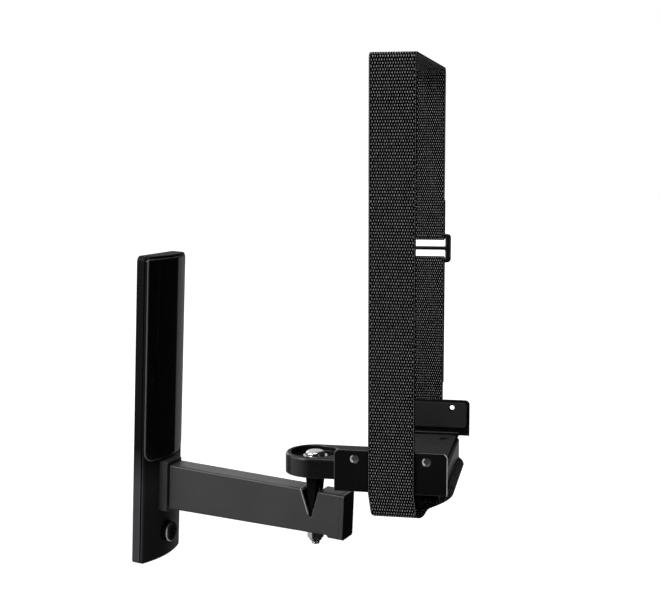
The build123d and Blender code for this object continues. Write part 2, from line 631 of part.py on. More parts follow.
def saddle_washer():
    """The washer under the arm, hollowed to slide round the saddle as the head tilts."""
    low = NUT_TOP_Z
    body = block(
        (-SADDLE_WASHER_LENGTH / 2, SADDLE_WASHER_LENGTH / 2),
        (-SADDLE_WASHER_WIDTH / 2, SADDLE_WASHER_WIDTH / 2),
        (low, low / 2),
    )
    body = fillet(body.edges().filter_by(Axis.Z), SADDLE_WASHER_CORNER)
    body -= across_y(SADDLE_RADIUS + ROCK_FIT, 0, -SADDLE_WASHER_WIDTH, SADDLE_WASHER_WIDTH, 0)
    return body - upright(BOLT_HOLE / 2, low, 0)


def lock_nut():
    """The hexagon lock nut under the arm, with a round collar below its flats."""
    bore = BOLT_DIAMETER + 2 * RUNNING_FIT
    nut = Rot(0, 0, 90) * hex_nut(NUT_ACROSS_FLATS, bore, NUT_HEIGHT, NUT_CHAMFER, NUT_TOP_Z)
    collar = upright(NUT_COLLAR_DIAMETER / 2, NUT_END_Z, NUT_TOP_Z - NUT_HEIGHT / 2)
    collar = fillet(collar.edges().filter_by(GeomType.CIRCLE).sort_by(Axis.Z)[0], NUT_COLLAR_ROUND)
    return nut + (collar - upright(bore / 2, NUT_END_Z, NUT_TOP_Z))


def pan_outline():
    """Top view of the cradle plate: a round end on the bolt, a spine and a cross channel."""
    half = SPINE_WIDTH / 2
    spine = Pos(CHANNEL_MIDDLE_X / 2, 0) * Rectangle(CHANNEL_MIDDLE_X, SPINE_WIDTH)
    channel = Pos(CHANNEL_MIDDLE_X, 0) * Rectangle(CHANNEL_FRONT_X - CHANNEL_REAR_X, 2 * CHANNEL_END_Y)
    outline = Circle(half) + spine + channel
    outline = fillet(vertices_at(outline, CHANNEL_REAR_X, half), SPINE_CORNER)
    ends = vertices_at(outline, CHANNEL_REAR_X, CHANNEL_END_Y)
    ends += vertices_at(outline, CHANNEL_FRONT_X, CHANNEL_END_Y)
    return fillet(ends, CHANNEL_CORNER)


def countersink(hole, head, top_z, depth):
    """A screw's countersunk head with its shank, from top_z down."""
    cone_height = (head - hole) / 2
    cone = Pos(0, 0, top_z - cone_height / 2) * Cone(hole / 2, head / 2, cone_height)
    return cone + upright(hole / 2, top_z - depth, top_z - cone_height / 2)


def cradle_plate():
    """The pressed pan: turned-down rim, dished seat for the bolt and channel ends left open."""
    outline = pan_outline()
    pan = Pos(0, 0, PAN_RIM_Z) * extrude(outline, PAN_TOP_Z - PAN_RIM_Z)
    pan = fillet(pan.faces().sort_by(Axis.Z)[-1].edges(), PAN_BEND)
    inner = offset(outline, -PAN_THICKNESS, kind=Kind.INTERSECTION)
    pan -= Pos(0, 0, PAN_RIM_Z) * extrude(inner, PAN_UNDER_Z - PAN_RIM_Z)
    tunnel_x = (CHANNEL_REAR_X + PAN_THICKNESS, CHANNEL_FRONT_X - PAN_THICKNESS)
    pan -= block(tunnel_x, (-2 * CHANNEL_END_Y, 2 * CHANNEL_END_Y), (PAN_RIM_Z, PAN_UNDER_Z))
    pan += upright(DISH_RADIUS + PAN_THICKNESS, DISH_FLOOR_Z - PAN_THICKNESS, PAN_UNDER_Z)
    pan -= upright(DISH_RADIUS, DISH_FLOOR_Z, PAN_TOP_Z + PAN_THICKNESS)
    dish_edge = pan.edges().filter_by(GeomType.CIRCLE).filter_by(
        lambda e: abs(e.radius - DISH_RADIUS) < MATCH and abs(e.center().Z - PAN_TOP_Z) < MATCH
    )
    pan = fillet(dish_edge, PAN_BEND / 2)
    pan -= upright(BOLT_DIAMETER / 2 + RUNNING_FIT, 0, PAN_TOP_Z)
    sink = countersink(SLOT_WIDTH, JAW_BOLT_HEAD + 2 * BOLT_FIT, PAN_TOP_Z, 2 * PAN_THICKNESS)
    for x, y in JAW_BOLT_PLACES:
        pan -= Pos(x, y, 0) * sink
    return pan


def cradle_pad():
    """The ribbed rubber sheet on the channel, open over the four jaw bolts."""
    length = 2 * (CHANNEL_END_Y - SHEET_INSET)
    width = CHANNEL_FRONT_X - CHANNEL_REAR_X - 2 * SHEET_INSET
    top = PAN_TOP_Z + SHEET_THICKNESS
    sheet = Pos(CHANNEL_MIDDLE_X, 0, PAN_TOP_Z) * extrude(
        RectangleRounded(width, length, SHEET_CORNER), SHEET_THICKNESS
    )
    count = int(length / SHEET_GROOVE_PITCH)
    for i in range(count):
        y = (i - (count - 1) / 2) * SHEET_GROOVE_PITCH
        groove_y = (y - SHEET_GROOVE_WIDTH / 2, y + SHEET_GROOVE_WIDTH / 2)
        groove_z = (top - SHEET_GROOVE_DEPTH, top + CUT_MARGIN)
        sheet -= block((CHANNEL_REAR_X, CHANNEL_FRONT_X), groove_y, groove_z)
    for x, y in JAW_BOLT_PLACES:
        sheet -= Pos(x, y, 0) * upright(SHEET_HOLE / 2, PAN_TOP_Z, top)
    return sheet


def jaw_hole_places():
    """The two holes' (x, z) places near the jaw's top edge."""
    z = JAW_BOTTOM_Z + JAW_HEIGHT - JAW_HOLE_DROP
    return [(JAW_CENTRE_X + side * JAW_HOLE_SPACING / 2, z) for side in (-1, 1)]


def near_jaw():
    """A folded jaw: an upright side plate and a slotted tongue that slides in the channel."""
    upright_plate = Rectangle(JAW_LENGTH, JAW_HEIGHT)
    upright_plate = fillet(upright_plate.vertices().group_by(Axis.Y)[-1], JAW_CORNER)
    side = Plane.XZ * (Pos(JAW_CENTRE_X, JAW_BOTTOM_Z + JAW_HEIGHT / 2) * upright_plate)
    jaw = Pos(0, -JAW_OUTER_Y, 0) * extrude(side, -JAW_THICKNESS)
    outer_face = jaw.faces().sort_by(Axis.Y)[0]
    jaw = fillet(outer_face.edges(), JAW_EDGE_ROUND)
    tongue_end = -JAW_BOLT_Y + JAW_TRAVEL_OUT + SLOT_WIDTH / 2 + TONGUE_END_MARGIN
    tongue_y = (-JAW_OUTER_Y + JAW_THICKNESS / 2, tongue_end)
    half = TONGUE_WIDTH / 2
    tongue_x = (CHANNEL_MIDDLE_X - half, CHANNEL_MIDDLE_X + half)
    jaw += block(tongue_x, tongue_y, (JAW_BOTTOM_Z, TONGUE_TOP_Z))
    bend_y = -JAW_OUTER_Y + JAW_THICKNESS
    bend = jaw.edges().filter_by(Axis.X).filter_by(
        lambda e: abs(e.center().Y - bend_y) < MATCH and abs(e.center().Z - TONGUE_TOP_Z) < MATCH
    )
    jaw = fillet(bend, JAW_BEND)
    slot_reach = JAW_TRAVEL_IN + JAW_TRAVEL_OUT
    slot_y = -JAW_BOLT_Y + (JAW_TRAVEL_OUT - JAW_TRAVEL_IN) / 2
    slot = SlotCenterToCenter(slot_reach, SLOT_WIDTH, rotation=90)
    for along in (-1, 1):
        x = CHANNEL_MIDDLE_X + along * JAW_BOLT_SPACING / 2
        jaw -= Pos(x, slot_y, JAW_BOTTOM_Z) * extrude(slot, JAW_THICKNESS)
    for x, z in jaw_hole_places():
        jaw -= across_y(JAW_HOLE / 2, x, -2 * JAW_OUTER_Y, 0, z)
        sink_depth = (JAW_HOLE_DIMPLE - JAW_HOLE) / 2
        sink = Rot(90, 0, 0) * Cone(JAW_HOLE / 2, JAW_HOLE_DIMPLE / 2, sink_depth)
        jaw -= Pos(x, -JAW_OUTER_Y + sink_depth / 2, z) * sink
    return jaw


def near_jaw_pad():
    """The foam pad on the jaw's inner face, open behind the two holes."""
    low = PAN_TOP_Z + SHEET_THICKNESS + PAD_FLOOR_GAP
    high = JAW_BOTTOM_Z + JAW_HEIGHT - PAD_INSET
    outline = RectangleRounded(JAW_LENGTH - 2 * PAD_INSET, high - low, PAD_CORNER)
    side = Plane.XZ * (Pos(JAW_CENTRE_X, (low + high) / 2) * outline)
    pad = Pos(0, -JAW_OUTER_Y + JAW_THICKNESS, 0) * extrude(side, -PAD_THICKNESS)
    pad = fillet(pad.faces().sort_by(Axis.Y)[-1].edges(), PAD_ROUND)
    for x, z in jaw_hole_places():
        pad -= across_y(JAW_HOLE_DIMPLE / 2, x, -2 * JAW_OUTER_Y, 0, z)
    return pad


def far_side(solid):
    """The same piece on the other side of the cradle."""
    return mirror(solid, about=Plane.XZ)


def at_jaw_bolts(solid):
    """One copy of a piece at each of the four jaw bolts."""
    return Compound(children=[Pos(x, y, 0) * solid for x, y in JAW_BOLT_PLACES])


def jaw_bolts():
    """The four countersunk bolts that hold the tongues in the channel."""
    end_z = jaw_washer_top() - JAW_WASHER_THICKNESS - JAW_NUT_HEIGHT - JAW_BOLT_STANDOUT
    bolt = countersink(JAW_BOLT_DIAMETER, JAW_BOLT_HEAD, PAN_TOP_Z, PAN_TOP_Z - end_z)
    key = extrude(RegularPolygon(SCREW_KEY / HEX_FLATS_PER_CORNER, 6), -PAN_THICKNESS / 2)
    return at_jaw_bolts(bolt - Pos(0, 0, PAN_TOP_Z) * key)


def jaw_washer_top():
    """The height of the washers' upper face, just under the tongues."""
    return JAW_BOTTOM_Z - SLIDE_FIT


def jaw_washers():
    """The four washers under the tongues."""
    top = jaw_washer_top()
    return at_jaw_bolts(ring(JAW_WASHER_DIAMETER, SLOT_WIDTH, top - JAW_WASHER_THICKNESS, top))


def jaw_nuts():
    """The four nuts under the washers."""
    bore = JAW_BOLT_DIAMETER + 2 * RUNNING_FIT
    top = jaw_washer_top() - JAW_WASHER_THICKNESS
    return at_jaw_bolts(hex_nut(JAW_NUT_ACROSS_FLATS, bore, JAW_NUT_HEIGHT, JAW_NUT_CHAMFER, top))


def buckle_bar_heights():
    """Heights of the buckle's upper and lower bars, which the strap's two ends go round."""
    apart = BUCKLE_SLOT + (BUCKLE_MID_BAR + BUCKLE_BAR) / 2
    return BUCKLE_Z + apart, BUCKLE_Z - apart


def buckle_middle_y():
    """The buckle lies just outside the strap's far run."""
    return STRAP_Y + STRAP_THICKNESS / 2 + STRAP_FIT + BUCKLE_THICKNESS / 2


def strap_path():
    """The strap's line seen along X, from its sewn end round the loop to its free tail."""
    upper, lower = buckle_bar_heights()
    out_y = 2 * buckle_middle_y() - STRAP_Y
    turn = (out_y - STRAP_Y) / 2
    fold_z = JAW_BOTTOM_Z + STRAP_FOLD_Z
    rise = radians(STRAP_RISE)
    run_y = STRAP_Y - (STRAP_RUN_Z - fold_z) / tan(rise)
    loop = FilletPolyline(
        (STRAP_Y, upper),
        (STRAP_Y, STRAP_TOP_Z),
        (-STRAP_Y, STRAP_TOP_Z),
        (-STRAP_Y, fold_z),
        (-run_y, STRAP_RUN_Z),
        (run_y, STRAP_RUN_Z),
        (STRAP_Y, fold_z),
        (STRAP_Y, lower),
        radius=[
            STRAP_TOP_RADIUS,
            STRAP_TOP_RADIUS,
            STRAP_FOLD_RADIUS,
            STRAP_RUN_RADIUS,
            STRAP_RUN_RADIUS,
            STRAP_FOLD_RADIUS,
        ],
    )
    sewn_turn = ThreePointArc((out_y, upper), (STRAP_Y + turn, upper - turn), (STRAP_Y, upper))
    tail_turn = ThreePointArc((STRAP_Y, lower), (STRAP_Y + turn, lower + turn), (out_y, lower))
    sewn = Line((out_y, upper + STRAP_RETURN), (out_y, upper))
    tail = Line((out_y, lower), (out_y, lower - STRAP_TAIL))
    return sewn + sewn_turn + loop + tail_turn + tail


def strap():
    """The safety strap: one flat band round the bay, its two ends folded round the buckle."""
    band = trace(strap_path(), STRAP_THICKNESS)
    middle = JAW_CENTRE_X + STRAP_SHIFT_X
    return Pos(middle, 0, 0) * extrude(Plane.YZ * band, STRAP_WIDTH / 2, both=True)


def strap_buckle():
    """A three-bar slide buckle on the strap's far run."""
    upper, lower = buckle_bar_heights()
    height = upper - lower + BUCKLE_BAR
    frame = RectangleRounded(BUCKLE_WIDTH, height, BUCKLE_BAR)
    window = STRAP_WIDTH + 4 * STRAP_FIT
    slot_rise = (BUCKLE_SLOT + BUCKLE_MID_BAR) / 2
    for side in (-1, 1):
        frame -= Pos(0, side * slot_rise) * RectangleRounded(window, BUCKLE_SLOT, BUCKLE_ROUND)
    body = extrude(Plane.XZ * frame, BUCKLE_THICKNESS / 2, both=True)
    flat_edges = [edge for face in body.faces().filter_by(Axis.Y) for edge in face.edges()]
    body = fillet(flat_edges, BUCKLE_ROUND)
    return Pos(JAW_CENTRE_X + STRAP_SHIFT_X, buckle_middle_y(), BUCKLE_Z) * body


# Every piece with the frame of its body
PIECES = {
    "wall_plate": (WALL_FRAME, wall_plate()),
    "gloss_panel": (WALL_FRAME, gloss_panel()),
    "lower_screw_cap": (WALL_FRAME, lower_screw_cap()),
    "arm_socket": (WALL_FRAME, arm_socket()),
    "socket_screws": (WALL_FRAME, socket_screws()),
    "arm": (ARM_FRAME, arm()),
    "arm_screws": (WALL_FRAME, arm_screws()),
    "arm_end_cap": (ARM_FRAME, arm_end_cap()),
    "tilt_post": (HEAD_FRAME, tilt_post()),
    "swivel_washer": (HEAD_FRAME, swivel_washer()),
    "head_washer": (HEAD_FRAME, head_washer()),
    "swivel_bolt": (HEAD_FRAME, swivel_bolt()),
    "saddle_washer": (HEAD_FRAME, saddle_washer()),
    "lock_nut": (HEAD_FRAME, lock_nut()),
    "cradle_plate": (CRADLE_FRAME, cradle_plate()),
    "cradle_pad": (CRADLE_FRAME, cradle_pad()),
    "jaw_bolts": (CRADLE_FRAME, jaw_bolts()),
    "jaw_washers": (CRADLE_FRAME, jaw_washers()),
    "jaw_nuts": (CRADLE_FRAME, jaw_nuts()),
    "near_jaw": (CRADLE_FRAME, near_jaw()),
    "near_jaw_pad": (CRADLE_FRAME, near_jaw_pad()),
    "far_jaw": (CRADLE_FRAME, far_side(near_jaw())),
    "far_jaw_pad": (CRADLE_FRAME, far_side(near_jaw_pad())),
    "strap": (CRADLE_FRAME, strap()),
    "strap_buckle": (CRADLE_FRAME, strap_buckle()),
}

os.makedirs("parts", exist_ok=True)
for name, (frame, shape) in PIECES.items():
    export_step(frame * shape, f"parts/{name}.step")
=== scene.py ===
from math import ceil, cos, pi, radians, sin, sqrt, tan

import bmesh
import bpy
import numpy as np
from mathutils import Matrix, Vector


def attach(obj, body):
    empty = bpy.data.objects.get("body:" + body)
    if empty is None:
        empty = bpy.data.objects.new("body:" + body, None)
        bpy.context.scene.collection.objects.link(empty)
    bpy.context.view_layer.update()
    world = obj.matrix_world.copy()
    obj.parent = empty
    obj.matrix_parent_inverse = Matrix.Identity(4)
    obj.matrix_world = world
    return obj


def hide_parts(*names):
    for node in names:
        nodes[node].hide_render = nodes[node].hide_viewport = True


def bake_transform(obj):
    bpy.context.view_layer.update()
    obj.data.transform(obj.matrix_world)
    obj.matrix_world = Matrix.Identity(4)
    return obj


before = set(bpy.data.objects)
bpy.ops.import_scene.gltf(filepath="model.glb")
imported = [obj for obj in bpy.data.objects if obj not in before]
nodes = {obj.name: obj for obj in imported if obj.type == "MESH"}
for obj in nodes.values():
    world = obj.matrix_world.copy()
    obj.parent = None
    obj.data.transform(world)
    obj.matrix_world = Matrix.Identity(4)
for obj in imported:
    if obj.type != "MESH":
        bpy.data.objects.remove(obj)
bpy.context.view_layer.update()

# Frames of the CAD bodies at rest, in millimetres
MM = 0.001
TILT_AXIS = Vector((176.6, 0.0, -76.6))
REST_TILT = 2.6
REST_SWIVEL = 13.7
HEAD = Matrix.Translation(TILT_AXIS) @ Matrix.Rotation(radians(-REST_TILT), 4, "Y")
CRADLE = HEAD @ Matrix.Rotation(radians(REST_SWIVEL), 4, "Z")

# Sizes shared with the CAD, in millimetres
BOLT_RADIUS = 4.0
BOLT_SEAT_Z = 54.2
BOLT_HEAD_RADIUS = 9.0
BOLT_HEAD_HEIGHT = 4.2
BOLT_END_Z = -28.8
BOLT_PITCH = 1.25
JAW_BOTTOM_Z = 52.8
STRAP_WIDTH = 38.0
STRAP_THICKNESS = 2.0
STRAP_X = 85.5
STRAP_Y = 107.8
STRAP_TOP_Z = 405.2
STRAP_RUN_Z = 38.5
STRAP_FOLD_Z = 25.8
STRAP_RISE = 42.0
STRAP_TOP_RADIUS = 4.5
STRAP_RUN_RADIUS = 10.0
STRAP_FOLD_RADIUS = 6.0
STRAP_TURN = 3.4
STRAP_RETURN = 34.0
STRAP_TAIL = 120.0
BUCKLE_Z = 235.0
BUCKLE_BAR = 3.6
BUCKLE_MID_BAR = 3.4
BUCKLE_SLOT = 8.5
BUCKLE_APART = BUCKLE_SLOT + (BUCKLE_MID_BAR + BUCKLE_BAR) / 2
SEAM_X = 8.8
NOTCH_TIP = 1.5


# Small helpers for shader nodes


class Graph:
    """A material's or world's node tree, with short ways to add and join nodes."""

    def __init__(self, owner):
        owner.use_nodes = True
        self.tree = owner.node_tree
        self.tree.nodes.clear()

    def add(self, kind, inputs=None, **settings):
        """A new node; inputs may hold values or node outputs, by the socket's name or place."""
        made = self.tree.nodes.new(kind)
        for key, value in settings.items():
            setattr(made, key, value)
        for key, value in (inputs or {}).items():
            self.put(made.inputs[key], value)
        return made

    def put(self, socket, value):
        if isinstance(value, bpy.types.NodeSocket):
            self.tree.links.new(value, socket)
        else:
            socket.default_value = value

    def noise(self, vector, scale, detail=2.0, roughness=0.5):
        inputs = {"Vector": vector, "Scale": scale, "Detail": detail, "Roughness": roughness}
        return self.add("ShaderNodeTexNoise", inputs).outputs["Fac"]

    def span(self, value, low, yarn_highlight, from_low=0.0, from_high=1.0):
        """A value between from_low and from_high, brought to low to high and held there."""
        inputs = {"Value": value, "From Min": from_low, "From Max": from_high}
        inputs.update({"To Min": low, "To Max": yarn_highlight})
        return self.add("ShaderNodeMapRange", inputs).outputs["Result"]

    def math(self, operation, a, b=0.0):
        return self.add("ShaderNodeMath", {0: a, 1: b}, operation=operation).outputs[0]

    def mix(self, factor, a, b):
        return self.add("ShaderNodeMix", {0: factor, 6: a, 7: b}, data_type="RGBA").outputs[2]

    def dot(self, a, b):
        return self.add("ShaderNodeVectorMath", {0: a, 1: b}, operation="DOT_PRODUCT").outputs["Value"]

    def cosine(self, value, period):
        """A wave between 0 and 1 with its crests at whole periods."""
        turned = self.math("COSINE", self.math("MULTIPLY", value, 2 * pi / period))
        return self.span(turned, 0.0, 1.0, -1.0, 1.0)

    def edges(self, radius):
        """A normal rounded over the edges, and a mask that is 1 there and 0 on open faces."""
        rounded = self.add("ShaderNodeBevel", {"Radius": radius}, samples=8).outputs["Normal"]
        flat = self.add("ShaderNodeNewGeometry").outputs["Normal"]
        return rounded, self.span(self.dot(rounded, flat), 1.0, 0.0, 0.80, 0.985)

    def bump(self, height, strength, distance, normal=None):
        inputs = {"Height": height, "Strength": strength, "Distance": distance}
        if normal is not None:
            inputs["Normal"] = normal
        return self.add("ShaderNodeBump", inputs).outputs["Normal"]


def grey(level, blue=0.0):
    return (level, level, level * (1 + blue), 1.0)


def surface(name, inputs):
    """A new material with one Principled shader; inputs may hold values or node outputs."""
    material = bpy.data.materials.new(name)
    graph = Graph(material)
    shader = graph.add("ShaderNodeBsdfPrincipled")
    graph.add("ShaderNodeOutputMaterial", {"Surface": shader.outputs["BSDF"]})
    for key, value in inputs(graph).items():
        graph.put(shader.inputs[key], value)
    return material


# Kinds of surface

EDGE_ROUND = 0.7 * MM


def coated(name, dark, light, rough, grain, peel, blue=0.04, edge=0.06, zones=(), **extra):
    """A painted or moulded surface: soft tone changes, fine grain, orange peel, and paler edges that are
    partly rubbed paint and partly a painted highlight.

    zones are parts of the surface in another tone, mostly painted highlights and painted shade, each a
    (share, level, specular) triple.
    """

    def inputs(g):
        spot = g.add("ShaderNodeTexCoord").outputs
        place = spot["Object"]
        clouds = g.noise(place, 26.0, 4.0, 0.6)
        fine = g.noise(place, grain, 3.0, 0.6)
        dust = g.noise(place, 420.0, 5.0, 0.75)
        rounded, on_edge = g.edges(EDGE_ROUND)
        tone = g.mix(g.span(clouds, 0.0, 1.0, 0.3, 0.7), grey(dark, blue), grey(light, blue))
        speckled = g.mix(g.span(dust, 0.0, 0.35, 0.66, 0.82), tone, grey(light * 1.8, blue))
        # Pale edges: partly rubbed paint, partly a painted highlight along the rounded edges
        rubbed_and_highlit = g.math("MULTIPLY", on_edge, g.span(clouds, 0.55, 1.0, 0.35, 0.6))
        colour = g.mix(rubbed_and_highlit, speckled, grey(edge, blue))
        shine = 0.5
        for share, level, specular in zones:
            part = share(g, spot)
            colour = g.mix(part, colour, grey(level, blue))
            shine = g.span(part, shine, specular)
        blend = g.math("ADD", g.math("MULTIPLY", clouds, 0.6), g.math("MULTIPLY", fine, 0.4))
        made = {
            "Base Color": colour,
            "Specular IOR Level": shine,
            "Roughness": g.span(blend, rough[0], rough[1], 0.3, 0.7),
            "Normal": g.bump(fine, peel, 0.0003, rounded),
        }
        made.update(extra)
        return made

    return surface(name, inputs)


def beyond(axis, start, end):
    """A zone that fades in along an axis from one place to another, in millimetres."""
    return lambda g, spot: g.span(g.dot(spot["Object"], axis), 0.0, 1.0, start * MM, end * MM)


def stripe(axis, centre, half):
    """A narrow zone around one place along an axis, in millimetres."""

    def share(g, spot):
        off = g.math("ABSOLUTE", g.math("SUBTRACT", g.dot(spot["Object"], axis), centre * MM))
        return g.span(off, 1.0, 0.0, half * 0.8 * MM, half * 1.2 * MM)

    return share


def both(first, second):
    """A zone where two others meet."""
    return lambda g, spot: g.math("MULTIPLY", first(g, spot), second(g, spot))


def facing(axis):
    """A zone on the faces square to an axis."""
    return lambda g, spot: g.span(g.math("ABSOLUTE", g.dot(spot["Normal"], axis)), 0.0, 1.0, 0.92, 0.98)


def rim(axis, side=None):
    """A zone on the rounded edges of faces square to an axis, or only on those towards a side."""

    def share(g, spot):
        square = g.math("ABSOLUTE", g.dot(spot["Normal"], axis))
        part = g.math("MULTIPLY", g.span(square, 0.0, 1.0, 0.15, 0.3), g.span(square, 1.0, 0.0, 0.85, 0.95))
        if side:
            part = g.math("MULTIPLY", part, g.span(g.dot(spot["Normal"], side), 0.0, 1.0, 0.25, 0.4))
        return part

    return share


def bright_zinc(name, tint):
    """Bright zinc on steel: fine turned marks and a slight bloom."""

    def inputs(g):
        place = g.add("ShaderNodeTexCoord").outputs["Object"]
        stretch = g.add("ShaderNodeMapping", {"Vector": place, "Scale": (900.0, 900.0, 5200.0)})
        marks = g.noise(stretch.outputs["Vector"], 1.0, 3.0, 0.6)
        bloom = g.noise(place, 300.0, 4.0, 0.65)
        colour = g.mix(bloom, (tint * 0.72, tint * 0.72, tint * 0.70, 1.0), (tint, tint, tint * 0.97, 1.0))
        return {
            "Base Color": colour,
            "Metallic": 1.0,
            "Roughness": g.span(g.math("ADD", marks, bloom), 0.1, 0.28, 0.7, 1.3),
            "Normal": g.bump(marks, 0.2, 0.00005),
        }

    return surface(name, inputs)


# Weave of the strap, in millimetres: zigzag ribs, dotted along their length, between two edge yarns
# whose rungs make a ladder; the depths are shares of the yarn's height
RIB_PITCH = 2.04
ROW_PITCH = 2.5
ZIGZAG = 0.26 * RIB_PITCH
ROW_DEPTH = 0.35
SELVEDGE = 1.6
SELVEDGE_FADE = 0.3
EDGE_YARN = 0.9
LADDER_PITCH = 2.1
LADDER_DEPTH = 0.3
YARN_RELIEF = 0.34
WANDER = 0.4


def webbing(name):
    """Woven black polyester: its raised yarn painted pale as a highlight, in dots along zigzag ribs, over a
    black ground.
    """

    def inputs(g):
        cloth = g.add("ShaderNodeUVMap", uv_map="cloth").outputs["UV"]
        split = g.add("ShaderNodeSeparateXYZ", {"Vector": cloth}).outputs
        across, along = split["X"], split["Y"]
        wander = g.noise(cloth, 0.25, 2.0, 0.5)
        zigzag = g.math("MULTIPLY", g.math("SINE", g.math("MULTIPLY", along, pi / ROW_PITCH)), ZIGZAG)
        lane = g.math("ADD", g.math("ADD", across, zigzag), g.span(wander, -WANDER, WANDER))
        rows = g.cosine(g.math("SUBTRACT", along, ROW_PITCH / 2), ROW_PITCH)
        dots = g.math("MULTIPLY", g.cosine(lane, RIB_PITCH), g.span(rows, 1 - ROW_DEPTH, 1.0))
        edge = g.math("SUBTRACT", STRAP_WIDTH / 2, g.math("ABSOLUTE", across))
        yarn = g.span(g.math("ABSOLUTE", g.math("SUBTRACT", edge, EDGE_YARN)), 1.0, 0.0, 0.0, EDGE_YARN)
        rungs = g.math("MULTIPLY", yarn, g.span(g.cosine(along, LADDER_PITCH), 1 - LADDER_DEPTH, 1.0))
        field = g.span(edge, 0.0, 1.0, SELVEDGE - SELVEDGE_FADE, SELVEDGE + SELVEDGE_FADE)
        raised = g.math("MAXIMUM", g.math("MULTIPLY", dots, field), rungs)
        stretch = g.add("ShaderNodeMapping", {"Vector": cloth, "Scale": (5.5, 1.1, 1.0)})
        fibre = g.noise(stretch.outputs["Vector"], 1.0, 3.0, 0.7)
        patches = g.noise(cloth, 0.06, 3.0, 0.6)
        uneven = g.noise(cloth, 0.45, 2.0, 0.6)
        low = g.mix(patches, grey(0.0003), grey(0.0008))
        # Painted highlight: the raised yarn is painted pale on the black webbing
        yarn_highlight = g.mix(g.math("MULTIPLY", fibre, g.span(uneven, 0.3, 1.7, 0.3, 0.7)), grey(0.07), grey(0.60))
        return {
            "Base Color": g.mix(g.span(raised, 0.0, 1.0, 0.68, 0.94), low, yarn_highlight),
            "Roughness": g.span(fibre, 0.55, 0.75),
            "Specular IOR Level": g.span(raised, 0.0, 0.1),
            "Normal": g.bump(g.math("ADD", raised, g.math("MULTIPLY", fibre, 0.3)), 0.5, 0.0003),
        }

    return surface(name, inputs)


def rubbery(name, level):
    """Moulded rubber or foam with fine pores."""

    def inputs(g):
        place = g.add("ShaderNodeTexCoord").outputs["Object"]
        pores = g.add("ShaderNodeTexVoronoi", {"Vector": place, "Scale": 900.0}).outputs["Distance"]
        clouds = g.noise(place, 45.0, 4.0, 0.6)
        return {
            "Base Color": g.mix(clouds, grey(level * 0.7), grey(level * 1.4)),
            "Roughness": g.span(clouds, 0.68, 0.88),
            "Specular IOR Level": 0.35,
            "Normal": g.bump(pores, 0.35, 0.0003),
        }

    return surface(name, inputs)


def nylon(name):
    """Natural nylon, slightly waxy."""

    def inputs(g):
        place = g.add("ShaderNodeTexCoord").outputs["Object"]
        clouds = g.noise(place, 60.0, 4.0, 0.6)
        return {
            "Base Color": g.mix(clouds, (0.52, 0.51, 0.46, 1.0), (0.64, 0.63, 0.58, 1.0)),
            "Roughness": g.span(clouds, 0.36, 0.5),
            "Normal": g.bump(clouds, 0.1, 0.0002),
        }

    return surface(name, inputs)


# Directions and places of the zones; places are in millimetres
OUT, ALONG, UP = (1.0, 0.0, 0.0), (0.0, 1.0, 0.0), (0.0, 0.0, 1.0)
PAN_UP = tuple(HEAD.to_3x3().col[2])
JAW_RIGHT, JAW_FACE = [tuple(CRADLE.to_3x3().col[i]) for i in (0, 1)]
CAP_LOWER_NEAR = (0.0, -0.8, -0.6)
NOTCH_SLOPE = radians(21.0)
NOTCH_SIDE = (-cos(NOTCH_SLOPE), 0.0, -sin(NOTCH_SLOPE))
NOTCH_RISE = (-sin(NOTCH_SLOPE), 0.0, cos(NOTCH_SLOPE))
NOTCH_FACE = TILT_AXIS.dot(NOTCH_SIDE) + NOTCH_TIP
NOTCH_ROOT = TILT_AXIS.dot(NOTCH_RISE)
ARM_END_FADE = (208.6, 209.4)
SOCKET_FRONT_FADE = (24.6, 25.0)
PLATE_FADE = (-72.0, -35.0)

# Zones of the surfaces, mostly painted highlights and painted shade: where, how pale and how shiny
# Painted highlight: a pale stripe along the cut face of the arm's notch, above its root
notch_highlight = stripe(NOTCH_SIDE, NOTCH_FACE + 0.35, 0.45)
above_root = beyond(NOTCH_RISE, NOTCH_ROOT + 1.0, NOTCH_ROOT + 3.0)
arm_zones = [(both(notch_highlight, above_root), 0.42, 0.5)]
# Painted shade: the end cap's end face darker and less shiny than its sides
end_face_shade = [(beyond(OUT, *ARM_END_FADE), 0.0025, 0.12)]
# Painted shade: the socket's spigot, in the gap before the arm, near black and dull
socket_gap_shade = [(beyond(OUT, *SOCKET_FRONT_FADE), 0.0012, 0.1)]
# Painted shade: faces square to the pan's up axis, its tops and bottoms, darker and barely shiny
pan_face_shade = [(facing(PAN_UP), 0.002, 0.02)]
# Painted highlights: pale rims round the jaw's face, palest along its right edge; with the pan's painted
# shade
jaw_highlights_and_shade = [(rim(JAW_FACE), 0.045, 0.4), (rim(JAW_FACE, JAW_RIGHT), 0.8, 0.5)] + pan_face_shade
# Wall plate: flanks painted paler as painted light, a painted highlight beside the seam, painted shade on
# its tops and in the black seam; the upper part fades darker and duller
plate_zones = [
    (facing(ALONG), 0.027, 0.5),
    (stripe(OUT, SEAM_X - 1.3, 0.4), 0.05, 0.5),
    (beyond(UP, *PLATE_FADE), 0.0012, 0.1),
    (facing(UP), 0.0012, 0.03),
    (stripe(OUT, SEAM_X, 0.8), 0.0005, 0.02),
]
# Panel: painted highlight on its rounded rims; painted shade on its sides and top, darker and less shiny
panel_zones = [(rim(OUT), 0.12, 0.5), (facing(ALONG), 0.0012, 0.1), (facing(UP), 0.0012, 0.05)]
# Cap: painted highlights on its rounded rims, brightest towards the lower near side
cap_rim_highlights = [(rim(OUT), 0.05, 0.5), (rim(OUT, CAP_LOWER_NEAR), 0.45, 0.5)]

